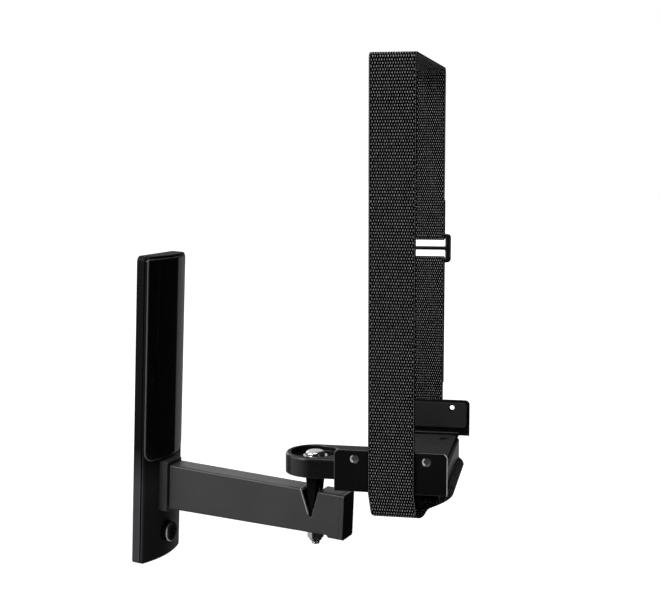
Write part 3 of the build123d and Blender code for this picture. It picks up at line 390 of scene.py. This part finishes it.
# Finishes, and the CAD nodes that have them
ARM_PAINT = (0.033, 0.042, (0.33, 0.44), 1500.0, 0.10)
SOCKET_PAINT = (0.044, 0.056, (0.33, 0.44), 1500.0, 0.10)
STEEL = ((0.26, 0.36), 1500.0, 0.08)
CASTING = (0.0085, 0.0125, (0.40, 0.52), 1300.0, 0.2, 0.25)
POST = (0.0012, 0.002, (0.68, 0.8), 1300.0, 0.1)
GLOSS = (0.0012, 0.002, (0.03, 0.075), 700.0, 0.01)
DULL = {"Specular IOR Level": 0.1}
arm_grey = coated("dark_grey_satin_arm", *ARM_PAINT, edge=0.22, zones=arm_zones)
end_grey = coated("dark_grey_satin_end", *ARM_PAINT, edge=0.12, zones=end_face_shade)
socket_grey = coated("dark_grey_satin_socket", *SOCKET_PAINT, edge=0.16, zones=socket_gap_shade)
satin_black = coated("satin_black_steel", 0.0026, 0.004, *STEEL, edge=0.14, zones=pan_face_shade)
jaw_black = coated("satin_black_jaw", 0.0024, 0.0036, *STEEL, edge=0.05, zones=jaw_highlights_and_shade)
cast_black = coated("matte_black_casting", *CASTING, edge=0.07, zones=plate_zones)
post_black = coated("matte_black_post", *POST, edge=0.004, **DULL)
moulded = coated("moulded_black_plastic", 0.003, 0.005, (0.22, 0.34), 1800.0, 0.1, edge=0.09)
cap_black = coated("gloss_black_cap", 0.003, 0.005, (0.04, 0.09), 1800.0, 0.04, edge=0.1, zones=cap_rim_highlights)
oxide = coated("black_oxide_steel", 0.03, 0.05, (0.3, 0.45), 2600.0, 0.12, Metallic=0.6)
gloss = coated("polished_black_panel", *GLOSS, edge=0.003, zones=panel_zones)
zinc = bright_zinc("bright_zinc", 0.72)
rubber = rubbery("black_rubber", 0.012)
strap_cloth = webbing("black_webbing")
waxy = nylon("natural_nylon")
thread = coated("bonded_thread", 0.03, 0.05, (0.5, 0.65), 4000.0, 0.2)

FINISHES = {
    arm_grey: ["arm"],
    end_grey: ["arm_end_cap"],
    socket_grey: ["arm_socket"],
    satin_black: ["cradle_plate"],
    jaw_black: ["near_jaw", "far_jaw"],
    cast_black: ["wall_plate"],
    post_black: ["tilt_post"],
    moulded: ["strap_buckle"],
    cap_black: ["lower_screw_cap"],
    oxide: ["socket_screws", "arm_screws", "jaw_bolts"],
    gloss: ["gloss_panel"],
    zinc: ["swivel_bolt", "head_washer", "saddle_washer", "lock_nut", "jaw_washers", "jaw_nuts"],
    rubber: ["cradle_pad", "near_jaw_pad", "far_jaw_pad"],
    strap_cloth: ["strap"],
    waxy: ["swivel_washer"],
}
for finish, names in FINISHES.items():
    for name in names:
        slots = nodes[name].data.materials
        slots.clear()
        slots.append(finish)


# Meshes added to the frame


def mesh_piece(name, points, faces, matrix, material):
    """A smooth mesh from points in a body's frame, in millimetres."""
    rotation = np.array(matrix.to_3x3())
    places = (np.asarray(points, float) @ rotation.T + np.array(matrix.translation)) * MM
    mesh = bpy.data.meshes.new(name)
    mesh.from_pydata(places.tolist(), [], [list(map(int, f)) for f in faces])
    mesh.polygons.foreach_set("use_smooth", np.ones(len(mesh.polygons), bool))
    mesh.materials.append(material)
    mesh.update()
    piece = bpy.data.objects.new(name, mesh)
    bpy.context.scene.collection.objects.link(piece)
    return piece


def rounded_route(corners, radii, step):
    """Even stations along a line with rounded corners: places, directions and lengths so far."""
    corners = [np.array(corner, float) for corner in corners]
    places, directions = [], []

    def add_line(start, end):
        length = np.linalg.norm(end - start)
        if length < 1e-6:
            return
        direction = (end - start) / length
        count = max(1, ceil(length / step))
        for k in range(count):
            places.append(start + direction * length * k / count)
            directions.append(direction)

    def add_arc(start, heading, radius, turn):
        side = np.sign(turn)
        centre = start + np.array((-heading[1], heading[0])) * side * radius
        count = max(4, ceil(radius * abs(turn) / step))
        for k in range(count):
            angle = turn * k / count
            c, s = cos(angle), sin(angle)
            rotated = np.array((heading[0] * c - heading[1] * s, heading[0] * s + heading[1] * c))
            places.append(centre + np.array((rotated[1], -rotated[0])) * side * radius)
            directions.append(rotated)

    here = corners[0]
    for before, corner, after, radius in zip(corners, corners[1:], corners[2:], radii):
        heading = (corner - before) / np.linalg.norm(corner - before)
        leaving = (after - corner) / np.linalg.norm(after - corner)
        turn = np.arctan2(heading[0] * leaving[1] - heading[1] * leaving[0], heading @ leaving)
        cut = radius * tan(abs(turn) / 2)
        start = corner - heading * cut
        add_line(here, start)
        add_arc(start, heading, radius, turn)
        here = corner + leaving * cut
    add_line(here, corners[-1])
    places.append(corners[-1])
    directions.append(directions[-1])
    places = np.array(places)
    steps = np.linalg.norm(np.diff(places, axis=0), axis=1)
    return places, np.array(directions), np.concatenate(([0.0], np.cumsum(steps)))


# Lie and mesh of the strap, in millimetres: its skew forward at the folds and under the cradle, and
# the columns of points across its outer and inner faces
FOLD_SKEW = 2.8
FOLD_DROP = 19.5
RUN_SKEW = 24.0
SKEW_START = 2.0
SKEW_REACH = 58.0
STRAP_STEP = 0.75
STRAP_EDGE_ROUND = 1.0
OUTER_INSETS = np.array((0.0, 0.18, 0.5))
OUTER_COLUMNS = 73
INNER_INSET = 0.25
INNER_COLUMNS = 37


def weave(across, along):
    """Height of the yarns, 0 to 1, by the rule of the webbing's colour without its wander."""
    lane = across + ZIGZAG * np.sin(pi * along / ROW_PITCH)
    rows = (1 - np.cos(2 * pi * along / ROW_PITCH)) / 2
    dots = (1 + np.cos(2 * pi * lane / RIB_PITCH)) / 2 * (1 - ROW_DEPTH + ROW_DEPTH * rows)
    edge = STRAP_WIDTH / 2 - np.abs(across)
    yarn = np.clip(1 - np.abs(edge - EDGE_YARN) / EDGE_YARN, 0, 1)
    rungs = yarn * (1 - LADDER_DEPTH / 2 + LADDER_DEPTH / 2 * np.cos(2 * pi * along / LADDER_PITCH))
    field = np.clip((edge - SELVEDGE + SELVEDGE_FADE) / (2 * SELVEDGE_FADE), 0, 1)
    return np.maximum(dots * field, rungs)


def skew(places):
    """How far the strap wanders forward: a little at its folds and more under the cradle."""
    y, z = np.abs(places[:, 0]), places[:, 1]
    below = np.clip((JAW_BOTTOM_Z - z) / FOLD_DROP, 0, 1)
    inward = np.clip((STRAP_Y - SKEW_START - y) / SKEW_REACH, 0, 1) * (z < JAW_BOTTOM_Z)
    return FOLD_SKEW * below + RUN_SKEW * np.sin(pi / 2 * inward)


def strap_columns():
    """Places across the strap, along its outer face and back along its inner one, and each one's side."""
    half = STRAP_WIDTH / 2
    flat = half - STRAP_EDGE_ROUND
    outer = (-half + OUTER_INSETS, np.linspace(-flat, flat, OUTER_COLUMNS), half - OUTER_INSETS[::-1])
    inner = ([half - INNER_INSET], np.linspace(flat, -flat, INNER_COLUMNS), [-half + INNER_INSET])
    outer, inner = np.concatenate(outer), np.concatenate(inner)
    side = np.concatenate((np.ones(len(outer)), -np.ones(len(inner))))
    return np.concatenate((outer, inner)), side


def strap_band(name, corners, radii, along_start):
    """One stretch of webbing following a route across the cradle, closed at both ends."""
    places, directions, lengths = rounded_route(corners, radii, STRAP_STEP)
    outward = np.stack((directions[:, 1], -directions[:, 0]), axis=1)
    across, side = strap_columns()
    edge = STRAP_WIDTH / 2 - np.abs(across)
    rounding = np.sqrt(1 - (1 - np.clip(edge / STRAP_EDGE_ROUND, 0, 1)) ** 2)
    along = lengths + along_start
    height = weave(across[None, :], along[:, None])
    lift = side * rounding * (STRAP_THICKNESS / 2 - YARN_RELIEF + YARN_RELIEF * height)
    points = np.empty(lift.shape + (3,))
    points[..., 0] = STRAP_X + across[None, :] + skew(places)[:, None]
    points[..., 1] = places[:, None, 0] + outward[:, None, 0] * lift
    points[..., 2] = places[:, None, 1] + outward[:, None, 1] * lift
    rows, columns = lift.shape
    index = np.arange(rows * columns).reshape(rows, columns)
    after = np.roll(index, -1, axis=1)
    quads = np.stack((index[:-1], index[1:], after[1:], after[:-1]), axis=-1).reshape(-1, 4)
    faces = quads.tolist() + [index[0].tolist(), index[-1][::-1].tolist()]
    piece = mesh_piece(name, points.reshape(-1, 3), faces, CRADLE, strap_cloth)
    layer = piece.data.uv_layers.new(name="cloth")
    cloth = np.stack(np.broadcast_arrays(across[None, :], along[:, None]), axis=-1)
    corner_points = np.empty(len(piece.data.loops), int)
    piece.data.loops.foreach_get("vertex_index", corner_points)
    layer.data.foreach_set("uv", cloth.reshape(-1, 2)[corner_points].astype(np.float32).reshape(-1))
    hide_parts("strap")
    return piece, lengths[-1]


# The strap's three runs, as (y, z) corners in the cradle's frame
run_y = STRAP_Y - (STRAP_RUN_Z - STRAP_FOLD_Z) / tan(radians(STRAP_RISE))
bar_upper = BUCKLE_Z + BUCKLE_APART
bar_lower = BUCKLE_Z - BUCKLE_APART
out_y = STRAP_Y + 2 * STRAP_TURN
near_corners = [
    (0, STRAP_TOP_Z),
    (-STRAP_Y, STRAP_TOP_Z),
    (-STRAP_Y, STRAP_FOLD_Z),
    (-run_y, STRAP_RUN_Z),
    (0, STRAP_RUN_Z),
]
near_radii = [STRAP_TOP_RADIUS, STRAP_FOLD_RADIUS, STRAP_RUN_RADIUS]
lower_corners = [
    (0, STRAP_RUN_Z),
    (run_y, STRAP_RUN_Z),
    (STRAP_Y, STRAP_FOLD_Z),
    (STRAP_Y, bar_lower + STRAP_TURN),
    (out_y, bar_lower + STRAP_TURN),
    (out_y, bar_lower - STRAP_TAIL),
]
lower_radii = [STRAP_RUN_RADIUS, STRAP_FOLD_RADIUS, STRAP_TURN, STRAP_TURN]
upper_corners = [
    (out_y, bar_upper + STRAP_RETURN),
    (out_y, bar_upper - STRAP_TURN),
    (STRAP_Y, bar_upper - STRAP_TURN),
    (STRAP_Y, STRAP_TOP_Z),
    (0, STRAP_TOP_Z),
]
upper_radii = [STRAP_TURN, STRAP_TURN, STRAP_TOP_RADIUS]
upper_length = rounded_route(upper_corners, upper_radii, STRAP_STEP)[2][-1]
strap_near, near_length = strap_band("strap_near_run", near_corners, near_radii, 0.0)
strap_lower, _ = strap_band("strap_far_tail_run", lower_corners, lower_radii, near_length)
strap_upper, _ = strap_band("strap_far_sewn_run", upper_corners, upper_radii, -upper_length)
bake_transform(strap_near)
for piece in (strap_lower, strap_upper):
    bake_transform(piece)

# Stitching of the strap's folded end, in millimetres: a boxed cross of short stitches
SEAM_HALF = 15.0
SEAM_ABOVE_BAR = 6.0
SEAM_BELOW_END = 3.0
SEAM_SINK = 0.12
STITCH_PITCH = 3.0
STITCH_GAP = 0.1
STITCH_RADIUS = 0.42
STITCH_BOW = 0.3
STITCH_SINK = 0.1
STITCH_SHARES = (0.0, 0.12, 0.35, 0.65, 0.88, 1.0)
STITCH_SIDES = 6


def tube_faces(rings, around, base=0):
    """Quads between rings of points, the first of them at number base."""
    faces = []
    for r in range(rings - 1):
        for k in range(around):
            a = base + r * around + k
            b = base + r * around + (k + 1) % around
            faces.append((a, a + around, b + around, b))
    return faces


def stitch_line(start, end):
    """Even stitches along a straight seam: each one is a (from, to) pair."""
    start, end = np.array(start, float), np.array(end, float)
    count = max(1, round(np.linalg.norm(end - start) / STITCH_PITCH))
    step = (end - start) / count
    return [(start + step * (k + STITCH_GAP), start + step * (k + 1 - STITCH_GAP)) for k in range(count)]


def stitch_points(start, end):
    """Rings of points along one stitch, which bows out of the cloth and thins at its ends."""
    out = np.array((0.0, 1.0, 0.0))
    across = np.cross((end - start) / np.linalg.norm(end - start), out)
    points = []
    for share in STITCH_SHARES:
        girth = STITCH_RADIUS * sqrt(max(0.02, 1 - (2 * share - 1) ** 4))
        centre = start + (end - start) * share + out * (STITCH_BOW * sin(pi * share) - STITCH_SINK)
        for k in range(STITCH_SIDES):
            angle = 2 * pi * k / STITCH_SIDES
            points.append(centre + girth * (cos(angle) * across + sin(angle) * out))
    return points


def stitching():
    """A boxed cross of thread that sews the strap's folded end to its far run."""
    face_y = out_y + STRAP_THICKNESS / 2 - SEAM_SINK
    low, yarn_highlight = bar_upper + SEAM_ABOVE_BAR, bar_upper + STRAP_RETURN - SEAM_BELOW_END
    left, right = STRAP_X - SEAM_HALF, STRAP_X + SEAM_HALF
    corners = [(left, face_y, low), (right, face_y, low), (right, face_y, yarn_highlight), (left, face_y, yarn_highlight)]
    seams = [(corners[i], corners[(i + 1) % 4]) for i in range(4)]
    seams += [(corners[0], corners[2]), (corners[1], corners[3])]
    points, faces = [], []
    for seam in seams:
        for start, end in stitch_line(*seam):
            base = len(points)
            points += stitch_points(start, end)
            faces += tube_faces(len(STITCH_SHARES), STITCH_SIDES, base)
            faces.append(list(range(base, base + STITCH_SIDES)))
            faces.append(list(range(len(points) - STITCH_SIDES, len(points)))[::-1])
    piece = mesh_piece("strap_stitching", np.array(points), faces, CRADLE, thread)
    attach(piece, "far_side")


stitching()

# Swivel bolt, in millimetres: its head, and the thread from THREAD_TOP_Z down to its end
BOLT_SIDES = 64
CROWN_FLAT = 2.0
DOME_SHARE = 0.8
DOME_STEPS = 8
HEAD_CHAMFER = 0.15
NECK_ROUND = 0.2
NECK_STEP = 0.01
SHANK_END_Z = -12.0
THREAD_TOP_Z = -14.0
THREAD_DEPTH = 0.62
THREAD_STEP = 0.14
THREAD_FADE = 2.0
FLANK_SLOPE = 2.5
END_CHAMFER = 1.0
END_TAPER = 0.8
END_TAPER_DEPTH = 0.5


def bolt_rings():
    """The bolt's outline from the crown down to its end, as (radius, z) pairs."""
    crown = BOLT_SEAT_Z + BOLT_HEAD_HEIGHT
    dome = BOLT_HEAD_HEIGHT * DOME_SHARE
    rings = [(0.0, crown), (CROWN_FLAT, crown)]
    for k in range(1, DOME_STEPS + 1):
        angle = pi / 2 * k / DOME_STEPS
        rings.append((BOLT_HEAD_RADIUS - dome + dome * sin(angle), crown - dome + dome * cos(angle)))
    rings += [
        (BOLT_HEAD_RADIUS, BOLT_SEAT_Z + HEAD_CHAMFER),
        (BOLT_HEAD_RADIUS - HEAD_CHAMFER, BOLT_SEAT_Z),
        (BOLT_RADIUS + NECK_STEP, BOLT_SEAT_Z),
        (BOLT_RADIUS, BOLT_SEAT_Z - NECK_ROUND),
        (BOLT_RADIUS, SHANK_END_Z),
    ]
    for k in range(int((THREAD_TOP_Z - BOLT_END_Z) / THREAD_STEP) + 1):
        rings.append((BOLT_RADIUS, THREAD_TOP_Z - THREAD_STEP * k))
    return rings + [(BOLT_RADIUS - END_CHAMFER, BOLT_END_Z), (0.0, BOLT_END_Z)]


def thread_cut(z, turn):
    """How deep the thread goes into the shank at a height and a share of a turn."""
    phase = (z / BOLT_PITCH - turn) % 1.0
    cut = min(1.0, max(0.0, FLANK_SLOPE * (0.5 - abs(phase - 0.5))))
    fade = min(1.0, (THREAD_TOP_Z - z) / THREAD_FADE)
    taper = max(0.0, 1.0 - (z - BOLT_END_Z) / END_TAPER)
    return THREAD_DEPTH * cut * fade + END_TAPER_DEPTH * taper


def threaded_bolt():
    """The swivel bolt with its domed head and a cut thread on its lower end."""
    rings = bolt_rings()
    points = []
    for radius, z in rings:
        for k in range(BOLT_SIDES):
            angle = 2 * pi * k / BOLT_SIDES
            reach = radius
            if z < THREAD_TOP_Z and radius == BOLT_RADIUS:
                reach = radius - thread_cut(z, k / BOLT_SIDES)
            points.append((reach * cos(angle), reach * sin(angle), z))
    faces = tube_faces(len(rings), BOLT_SIDES)
    piece = mesh_piece("swivel_bolt_threaded", np.array(points), faces, HEAD, zinc)
    shape = bmesh.new()
    shape.from_mesh(piece.data)
    bmesh.ops.remove_doubles(shape, verts=shape.verts, dist=1e-6)
    shape.to_mesh(piece.data)
    shape.free()
    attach(piece, "tilt_head")
    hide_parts("swivel_bolt")


threaded_bolt()


# Stage: floor, light and camera, in metres

FLOOR_SIZE = 12.0
FLOOR_LEVEL = -0.42
FLOOR_SEEN = (0.4, 0.85, 0.7, 1.7)
ROOM_DARK = 0.012
ROOM_PALE = 0.8
ROOM_BEHIND = 0.31
BEHIND_FADE = (0.29, 0.34)
FRONT_FADE = (-0.9, 0.1)
WALL_PALE = 1.5
WALL_FADE = (-0.95, -0.5)
ROOM_FADE = (-0.45, 0.0)
NEAR_ZERO = 0.05


def floor():
    """A plain floor well below the bracket: white to the camera, and pale at the left in mirrors."""
    mesh = bpy.data.meshes.new("floor")
    size, level = FLOOR_SIZE, FLOOR_LEVEL
    corners = [(-size, -size, level), (size, -size, level), (size, size, level), (-size, size, level)]
    mesh.from_pydata(corners, [], [(0, 1, 2, 3)])
    made = bpy.data.objects.new("floor", mesh)
    bpy.context.scene.collection.objects.link(made)
    material = bpy.data.materials.new("pale_floor")
    g = Graph(material)
    path = g.add("ShaderNodeLightPath").outputs
    place = g.add("ShaderNodeTexCoord").outputs["Object"]
    split = g.add("ShaderNodeSeparateXYZ", {"Vector": place}).outputs
    distance = g.add("ShaderNodeVectorMath", {"Vector": place}, operation="LENGTH").outputs["Value"]
    mirrored = g.math("MAXIMUM", path["Is Glossy Ray"], path["Is Transmission Ray"])
    seen = g.math("MULTIPLY", path["Is Camera Ray"], g.span(distance, *FLOOR_SEEN))
    lean = g.math("DIVIDE", split["X"], g.math("MAXIMUM", split["Y"], NEAR_ZERO))
    behind = g.math("GREATER_THAN", split["Y"], 0.0)
    rear = g.math("MULTIPLY", behind, g.span(lean, ROOM_BEHIND, ROOM_DARK, *BEHIND_FADE))
    before = g.math("SUBTRACT", 1.0, behind)
    front = g.math("MULTIPLY", before, g.span(split["X"], ROOM_PALE, ROOM_DARK, *FRONT_FADE))
    shown = g.math("MULTIPLY", mirrored, g.math("ADD", rear, front))
    paint = g.add("ShaderNodeBsdfDiffuse", {"Color": grey(0.8)}).outputs[0]
    white = g.add("ShaderNodeEmission", {"Strength": g.math("ADD", seen, shown)}).outputs[0]
    lit = g.add("ShaderNodeAddShader", {0: paint, 1: white}).outputs[0]
    finish = g.add("ShaderNodeMixShader", {0: mirrored, 1: lit, 2: white}).outputs[0]
    g.add("ShaderNodeOutputMaterial", {"Surface": finish})
    mesh.materials.append(material)


def studio_world():
    """White to the camera; as light, a room with a pale wall at the left and a dark right half."""
    world = bpy.data.worlds.new("studio")
    bpy.context.scene.world = world
    g = Graph(world)
    path = g.add("ShaderNodeLightPath").outputs
    direction = g.add("ShaderNodeTexCoord").outputs["Generated"]
    right = g.dot(direction, OUT)
    pale = g.span(right, ROOM_PALE, ROOM_DARK, *ROOM_FADE)
    wall = g.span(right, WALL_PALE, 0.0, *WALL_FADE)
    white = g.math("MAXIMUM", g.math("ADD", pale, wall), path["Is Camera Ray"])
    sky = g.add("ShaderNodeBackground", {"Color": grey(1.0), "Strength": white}).outputs[0]
    g.add("ShaderNodeOutputWorld", {"Surface": sky})


def lamp(name, place, target, size, power):
    """A soft lamp of a width and height at place, facing target."""
    light = bpy.data.lights.new(name, "AREA")
    light.shape = "RECTANGLE"
    light.size, light.size_y = size
    light.energy = power
    made = bpy.data.objects.new(name, light)
    made.location = place
    made.rotation_mode = "QUATERNION"
    made.rotation_quaternion = (Vector(target) - Vector(place)).to_track_quat("-Z", "Y")
    bpy.context.scene.collection.objects.link(made)


# Camera fitted to the photograph's corners: angles in degrees, target and distance in millimetres
CAMERA_AZIMUTH = 24.65
CAMERA_PITCH = 8.36
CAMERA_ROLL = 2.27
CAMERA_TARGET = Vector((182.71, 0.0, 120.85))
CAMERA_DISTANCE = 1092.19
SENSOR_WIDTH = 36.0
FOCAL_PIXELS = 1226.75
PHOTO_WIDTH_PIXELS = 660


def photo_camera():
    """The camera that the photograph was taken with, as its corners place it."""
    azimuth, pitch, roll = radians(CAMERA_AZIMUTH), radians(CAMERA_PITCH), radians(CAMERA_ROLL)
    back = Vector((sin(azimuth) * cos(pitch), -cos(azimuth) * cos(pitch), sin(pitch)))
    right = Vector((cos(azimuth), sin(azimuth), 0.0))
    up = back.cross(right)
    right, up = cos(roll) * right + sin(roll) * up, cos(roll) * up - sin(roll) * right
    data = bpy.data.cameras.new("photo_camera")
    data.sensor_fit = "HORIZONTAL"
    data.sensor_width = SENSOR_WIDTH
    data.lens = SENSOR_WIDTH * FOCAL_PIXELS / PHOTO_WIDTH_PIXELS
    data.clip_start = 0.05
    made = bpy.data.objects.new("photo_camera", data)
    bpy.context.scene.collection.objects.link(made)
    matrix = Matrix((right, up, back)).transposed().to_4x4()
    matrix.translation = (CAMERA_TARGET + back * CAMERA_DISTANCE) * MM
    made.matrix_world = matrix
    bpy.context.scene.camera = made


floor()
studio_world()
lamp("key", (-0.9, -1.6, 1.3), (0.18, 0.0, 0.05), (0.9, 0.9), 24.0)
lamp("top", (0.3, -0.4, 1.9), (0.2, 0.0, 0.0), (1.0, 1.0), 14.0)
lamp("edge", (1.6, -0.75, 0.1), (0.3, -0.05, 0.0), (0.12, 1.2), 2.5)
photo_camera()
bpy.context.scene.view_settings.view_transform = "Standard"
